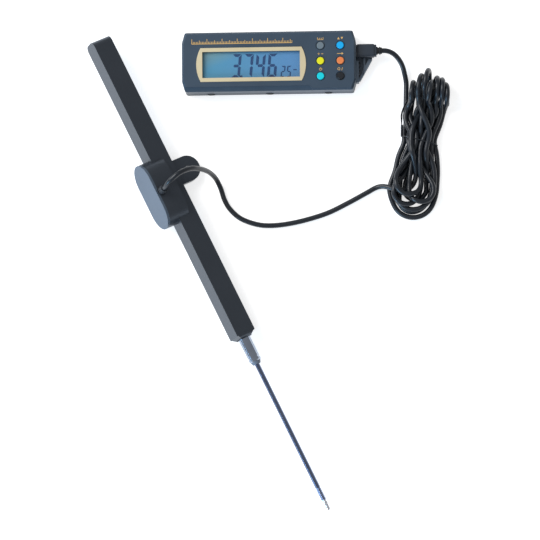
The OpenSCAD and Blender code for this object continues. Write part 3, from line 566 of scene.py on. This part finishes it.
class Finish:
    """One material, with a method that adds any node."""

    def __init__(self, name, rough=0.5, metal=0.0):
        self.material = bpy.data.materials.new(name)
        self.material.use_nodes = True
        self.tree = self.material.node_tree
        self.shader = self.tree.nodes["Principled BSDF"]
        self.shader.inputs["Roughness"].default_value = rough
        self.shader.inputs["Metallic"].default_value = metal

    def raw(self, kind, settings, values):
        made = self.tree.nodes.new(kind)
        for key, value in settings.items():
            setattr(made, key, value)
        for key, value in values.items():
            if isinstance(value, Flow):
                self.tree.links.new(value.socket, made.inputs[key])
            else:
                made.inputs[key].default_value = value
        return made

    def node(self, kind, settings, values, out=0):
        return Flow(self, self.raw(kind, settings, values).outputs[out])

    def place(self):
        return self.node("ShaderNodeTexCoord", {}, {}, "Object")

    def mapped(self, **values):
        names = {"turn": "Rotation", "scale": "Scale"}
        return self.node("ShaderNodeMapping", {}, {"Vector": self.place(),
            **{names[k]: v for k, v in values.items()}})

    def noise(self, scale, detail=3.0, where=None):
        return self.node("ShaderNodeTexNoise", {}, {"Vector": where or self.place(), "Scale": scale,
            "Detail": detail})

    def blend(self, mask, low, high):
        return self.node("ShaderNodeMix", {"data_type": "RGBA"}, {0: mask, 6: low, 7: high}, 2)

    def feed(self, **sockets):
        names = {"color": "Base Color", "rough": "Roughness", "alpha": "Alpha", "normal": "Normal"}
        for key, value in sockets.items():
            if isinstance(value, Flow):
                self.tree.links.new(value.socket, self.shader.inputs[names[key]])
            else:
                self.shader.inputs[names[key]].default_value = value
        return self

    def bump(self, height, distance, strength=0.6):
        return self.node("ShaderNodeBump", {}, {"Height": height, "Distance": distance, "Strength": strength})


def ink(r, g, b, k=1.0):
    """A colour given as it looks on screen, 0 to 255, as the shader needs it."""
    parts = [c / 255 for c in (r, g, b)]
    return (*[k * (c / 12.92 if c <= 0.04045 else ((c + 0.055) / 1.055) ** 2.4) for c in parts], 1.0)


def grain(name, dark, light, scale, rough, spread=0.12, metal=0.0, depth=0.00002, coarse=60.0):
    """A moulded or coated surface: slow colour drift, fine grain, and roughness that varies with it."""
    f = Finish(name, rough, metal)
    slow, fine = f.noise(coarse, 4.0), f.noise(scale, 2.0)
    f.feed(color=f.blend((slow * 0.65 + fine * 0.35), dark, light), rough=rough - spread / 2 + fine * spread,
        normal=f.bump(fine, depth))
    return f


print("finish tools ready")

# %% [markdown]
# ### Plastics, rubber and coated metal
# The display is a fine-grained grey-blue moulding. The probe is anodised metal, so its sides mirror the pale
# bench softly while its upper faces stay dark. The head's cover is a lighter, bluer copy of that coat, which is
# painted light for its lit side. The cable and plug are smooth black vinyl.

# %% Plastic, rubber and paint
finishes = {}
finishes["front_plastic"] = grain("front_plastic", ink(44, 60, 76), ink(64, 84, 102), 2600.0, 0.44, 0.16,
    depth=0.00004)
finishes["rear_plastic"] = grain("rear_plastic", ink(44, 55, 66), ink(64, 78, 92), 2200.0, 0.5, 0.16, depth=0.00004)
finishes["cap_plastic"] = grain("cap_plastic", ink(36, 43, 52), ink(50, 60, 70), 2000.0, 0.5, 0.14)
finishes["plug_vinyl"] = grain("plug_vinyl", ink(36, 44, 54), ink(50, 60, 72), 1500.0, 0.42, 0.14)
finishes["cable_vinyl"] = grain("cable_vinyl", ink(24, 28, 34), ink(34, 40, 48), 900.0, 0.33, 0.1, depth=0.00001)
finishes["tie_vinyl"] = grain("tie_vinyl", ink(20, 22, 26), ink(38, 42, 48), 1800.0, 0.36, 0.14)
finishes["soft_rubber"] = grain("soft_rubber", ink(22, 24, 28), ink(36, 39, 44), 1500.0, 0.62, 0.12)
finishes["anodised"] = grain("anodised", ink(68, 74, 82), ink(84, 90, 98), 3200.0, 0.36, 0.1, 0.8, 0.00001, 30.0)
# Painted light: the head's cover is the anodised coat made lighter and bluer, with less metal, so that its side looks
# lit
finishes["head_cover_painted_light"] = grain("head_cover_painted_light", ink(84, 98, 114), ink(102, 116, 132), 3200.0, 0.44, 0.1, 0.4,
    0.00001, 40.0)
bracket = grain("bracket_paint", ink(58, 68, 80), ink(84, 96, 110), 2400.0, 0.46, 0.14)
# Painted highlight: above BRACKET_RIM_Z the coat is mixed towards a pale blue-grey, as a slanted rim that catches the
# light. The base colours are raised to offset the shade beside the readout, which is painted light as well.
BRACKET_RIM_Z = 0.0046
rim = (bracket.place().part(2) > BRACKET_RIM_Z) * 0.7
bracket_paint = bracket.blend(bracket.noise(60.0), ink(80, 92, 106), ink(102, 114, 128))
bracket.feed(color=bracket.blend(rim, bracket_paint, ink(130, 148, 166)))
finishes["bracket_paint"] = bracket
finishes["gold_paint"] = grain("gold_paint", ink(220, 198, 152), ink(246, 230, 194), 1800.0, 0.34, 0.12, 0.15)
finishes["gold_ink"] = grain("gold_ink", ink(232, 178, 96), ink(250, 204, 128), 1200.0, 0.4, 0.1)
finishes["gland_rubber"] = grain("gland_rubber", ink(44, 48, 54), ink(66, 70, 76), 1500.0, 0.5, 0.12)
finishes["seal_grey"] = grain("seal_grey", ink(104, 114, 130), ink(136, 146, 162), 1500.0, 0.5, 0.12)
finishes["digit_ink"] = grain("digit_ink", ink(4, 38, 88), ink(12, 52, 112), 900.0, 0.5)
KEY_SHADES = {"grey": (122, 136, 144), "blue": (0, 188, 255), "yellow": (255, 248, 30), "orange": (255, 146, 84),
    "cyan": (0, 228, 240), "black": (28, 32, 38)}
for name, shade in KEY_SHADES.items():
    low = tuple(max(0, c - 10) for c in shade)
    finishes["key_" + name] = grain("key_" + name, ink(*low), ink(*shade), 1400.0, 0.36, 0.12, depth=0.00003,
        coarse=300.0)

# %% [markdown]
# ### Metal, glass and boards
# Turned steel carries fine rings round its axis, and brushed steel has streaks. The window and the scale are clear
# glass, made with a low alpha so the pieces behind them show. The scale carries fine graduations.

# %% Directions on the probe
STEM = Vector(next(m for m in frame["record"]["mounts"] if m["name"] == "stem")["axis"]).normalized()
STEM_AT = Vector(next(m for m in frame["record"]["mounts"] if m["name"] == "stem")["pos_m"])
turned = STEM.rotation_difference(Vector((1, 0, 0))).to_euler()


def along_probe(f):
    """Distance along the probe, in metres, from where the stem starts."""
    flat = f.node("ShaderNodeVectorMath", {"operation": "DOT_PRODUCT"}, {0: f.place(), 1: tuple(STEM)}, "Value")
    return flat - float(STEM_AT.dot(STEM))


# %% Steel, bronze and light alloy
def turned_metal(name, low, high, rough, pitch, depth):
    f = Finish(name, rough, 1.0)
    ring = (along_probe(f) * (math.tau / pitch)).math("SINE", 0.0)
    cloud = f.noise(90.0, 3.0)
    f.feed(color=f.blend(cloud, low, high), rough=rough + cloud * 0.08, normal=f.bump(ring + cloud, depth, 0.4))
    return f


def streaked(name, low, high, rough, metal=1.0):
    f = Finish(name, rough, metal)
    streak = f.noise(40.0, 5.0, f.mapped(scale=(3.0, 60.0, 60.0)))
    f.feed(color=f.blend(streak, low, high), rough=rough + streak * 0.15, normal=f.bump(streak, 0.00001, 0.5))
    return f


# Partly painted reflection: the steel's grey is tinted blue-grey, and darker on the rod, to stand in for the dark
# bluish surroundings that the polished steel mirrors
finishes["rod_steel"] = turned_metal("rod_steel", ink(98, 108, 136), ink(128, 138, 162), 0.14, 0.00028, 0.000004)
finishes["stem_steel"] = turned_metal("stem_steel", ink(146, 156, 172), ink(180, 188, 202), 0.14, 0.0005, 0.00001)
finishes["bronze"] = turned_metal("bronze", ink(160, 116, 62), ink(190, 146, 88), 0.32, 0.0004, 0.00001)
finishes["screw_steel"] = streaked("screw_steel", ink(150, 154, 160), ink(190, 194, 200), 0.3)
finishes["dark_steel"] = streaked("dark_steel", ink(58, 62, 68), ink(84, 88, 94), 0.4)
finishes["sheet_steel"] = streaked("sheet_steel", ink(170, 174, 180), ink(206, 210, 214), 0.26)
finishes["alloy"] = streaked("alloy", ink(150, 154, 160), ink(184, 188, 194), 0.36)
knurl = Finish("knurled_steel", 0.2, 1.0)
cross = knurl.mapped(turn=tuple(turned))
RIDGES, NEEDLE_LONG = 5200.0, 0.0075
ridge = (cross.part(0) * RIDGES).math("SINE", 0.0) * ((cross.part(1) + cross.part(2)) * RIDGES).math("SINE", 0.0)
far_end = max(v.co.dot(STEM) for v in nodes["contact_point"].data.vertices) - float(STEM_AT.dot(STEM))
needle = along_probe(knurl) > far_end - NEEDLE_LONG
# Painted shade and highlight: the knurl's colour follows its ridges, darker in the grooves and paler on the crests,
# with the same painted blue reflection as the rod
body = knurl.blend(ridge * 0.5 + 0.5, ink(92, 104, 138), ink(166, 176, 200))
knurl.feed(color=knurl.blend(needle, body, ink(240, 242, 248)), rough=0.2 + knurl.noise(300.0) * 0.1,
    normal=knurl.bump(ridge, 0.00008, 0.8))
finishes["knurled_steel"] = knurl

# %% Window, readout, scale and boards
window = Finish("clear_window", 0.06)
window.feed(color=window.blend(window.noise(40.0), ink(110, 176, 214), ink(130, 190, 226)), alpha=0.05,
    rough=0.05 + window.noise(120.0) * 0.04)
finishes["clear_window"] = window
panel = Finish("readout_face", 0.42)
spot = panel.place()
lo, hi = panel_lo, panel_hi
edge_x = (spot.part(0) - (lo[0] + hi[0]) / 2).math("ABSOLUTE", 0.0) * (2 / (hi[0] - lo[0]))
edge_y = (spot.part(1) - (lo[1] + hi[1]) / 2).math("ABSOLUTE", 0.0) * (2 / (hi[1] - lo[1]))
rim = ((edge_x.math("MAXIMUM", edge_y) - 0.72) * 3.0).clamp()
cells = (spot.part(0) * 9000.0).math("SINE", 0.0) * (spot.part(1) * 9000.0).math("SINE", 0.0)
side = ((spot.part(0) - lo[0]) * (1 / (hi[0] - lo[0]))).clamp()
corner = (((spot.part(1) - lo[1]) * (1 / (hi[1] - lo[1])) - side * 1.3 - 0.25) * 1.4).clamp()
face = panel.blend(side, ink(84, 160, 188), ink(98, 148, 202))
face = panel.blend(corner, face, ink(138, 160, 140))
face = panel.blend(rim * 0.4 + panel.noise(60.0) * 0.15, face, ink(70, 128, 170))
panel.feed(color=face, rough=0.4 + panel.noise(800.0) * 0.1, normal=panel.bump(cells, 0.000004, 0.3))
finishes["readout_face"] = panel
scale = Finish("scale_glass", 0.08)
tick = ((along_probe(scale) * (math.tau / 0.001)).math("SINE", 0.0) > 0.3) * 0.75
scale.feed(color=scale.blend(tick, ink(196, 214, 214), ink(60, 70, 80)), alpha=tick + 0.25,
    rough=0.06 + scale.noise(90.0) * 0.04)
finishes["scale_glass"] = scale
board = Finish("board_green", 0.4)
copper = (board.node("ShaderNodeTexVoronoi", {"feature": "DISTANCE_TO_EDGE", "distance": "CHEBYCHEV"},
    {"Vector": board.place(), "Scale": 240.0}) < 0.06) * 0.6
board.feed(color=board.blend(copper, ink(18, 84, 52), ink(58, 140, 92)), rough=0.36 + board.noise(500.0) * 0.1,
    normal=board.bump(copper, 0.00003))
finishes["board_green"] = board
print("finishes:", len(finishes))

# %% Give every piece its finish
WEARS = {"front_plastic": ["front_shell"], "rear_plastic": ["rear_shell"], "cap_plastic": ["battery_cap"],
    "gold_paint": ["trim_ring"], "clear_window": ["window"], "readout_face": ["readout_panel"],
    "board_green": ["circuit_board", "sensor_board"], "key_grey": ["key_mode"], "key_blue": ["key_limit"],
    "key_yellow": ["key_sign"], "key_orange": ["key_preset"], "key_cyan": ["key_power"],
    "key_black": ["key_zero", "key_switches", "reader"],
    "sheet_steel": ["coin_cell", "cell_clip", "socket", "plug_tip"],
    "screw_steel": ["shell_screws", "cover_screws", "head_screws"], "dark_steel": ["bracket_screws"],
    "soft_rubber": ["edge_pads", "plug_relief", "cable_gland", "bumpers", "cord_tie"], "seal_grey": ["wiper_seal"],
    "bracket_paint": ["side_bracket"], "plug_vinyl": ["plug_grip"],
    "cable_vinyl": ["cord_lead", "cord_hank", "cord_run"], "anodised": ["beam_housing", "lug_cover", "head_shell"],
    "head_cover_painted_light": ["head_lid"], "stem_steel": ["stem"], "bronze": ["stem_bush"], "rod_steel": ["spindle_rod"],
    "knurled_steel": ["contact_point"], "alloy": ["carriage"], "scale_glass": ["glass_scale"]}
dressed = set()
for finish, wearers in WEARS.items():
    for name in wearers:
        slots = nodes[name].data.materials
        slots.clear()
        slots.append(finishes[finish].material)
        dressed.add(name)
for piece, finish in ((cable, "cable_vinyl"), (tie, "tie_vinyl"), (digits, "digit_ink"), (marks, "gold_ink"),
        (ribs, "gland_rubber")):
    piece.data.materials.append(finishes[finish].material)
print("not dressed:", sorted(set(nodes) - dressed))

# %% [markdown]
# ## Bench and light
# The bench is a white sheet. Seen by the camera, through glass and in reflections it glows a little, so it stays
# white while the object's soft shadow remains. One wide lamp stands at the upper left and a smaller bluish one at the
# lower left.

# %% Bench
BENCH_HALF, BENCH_TOP = 6.0, -0.0002
BENCH_TONE, BENCH_GLOW = 0.8, 0.7
bench_mesh = bmesh.new()
bmesh.ops.create_grid(bench_mesh, x_segments=1, y_segments=1, size=BENCH_HALF)
bmesh.ops.translate(bench_mesh, vec=(0, 0, BENCH_TOP), verts=bench_mesh.verts[:])
bench_data = bpy.data.meshes.new("bench")
bench_mesh.to_mesh(bench_data)
bench_mesh.free()
bench = bpy.data.objects.new("bench", bench_data)
scene.collection.objects.link(bench)
sheet = Finish("bench_white", 0.9)
sheet.feed(color=(BENCH_TONE, BENCH_TONE, BENCH_TONE, 1.0))
ray = sheet.raw("ShaderNodeLightPath", {}, {})
seen = Flow(sheet, ray.outputs["Is Camera Ray"]) + Flow(sheet, ray.outputs["Is Transmission Ray"])
seen = (seen + Flow(sheet, ray.outputs["Is Glossy Ray"])).clamp() * BENCH_GLOW
glow = sheet.raw("ShaderNodeEmission", {}, {"Color": (1, 1, 1, 1), "Strength": seen})
lit = Flow(sheet, sheet.shader.outputs[0])
both = sheet.raw("ShaderNodeAddShader", {}, {0: lit, 1: Flow(sheet, glow.outputs[0])})
sheet.tree.links.new(both.outputs[0], sheet.tree.nodes["Material Output"].inputs["Surface"])
bench_data.materials.append(sheet.material)

# %% Lamps and world
def lamp(name, spot, aim, size, power, shade=(1, 1, 1)):
    """A round lamp at a spot, pointed at its aim."""
    data = bpy.data.lights.new(name, "AREA")
    data.shape = "DISK"
    data.size, data.energy, data.color = size, power, shade
    made = bpy.data.objects.new(name, data)
    scene.collection.objects.link(made)
    made.location = spot
    made.rotation_euler = (Vector(aim) - Vector(spot)).to_track_quat("-Z", "Y").to_euler()


lamp("wide_lamp", (-1.3, 0.7, 1.5), (0, -0.12, 0), 1.4, 29.0)
lamp("front_lamp", (-1.5, -1.5, 0.75), (0, -0.12, 0), 1.0, 28.0, (0.4, 0.7, 1.0))
world = bpy.data.worlds.new("world")
world.use_nodes = True
world.node_tree.nodes["Background"].inputs[0].default_value = (0.97, 0.98, 1.0, 1.0)
world.node_tree.nodes["Background"].inputs[1].default_value = 0.36
scene.world = world
scene.view_settings.view_transform = "Standard"

# %% Update the scene, and the end
bpy.context.view_layer.update()
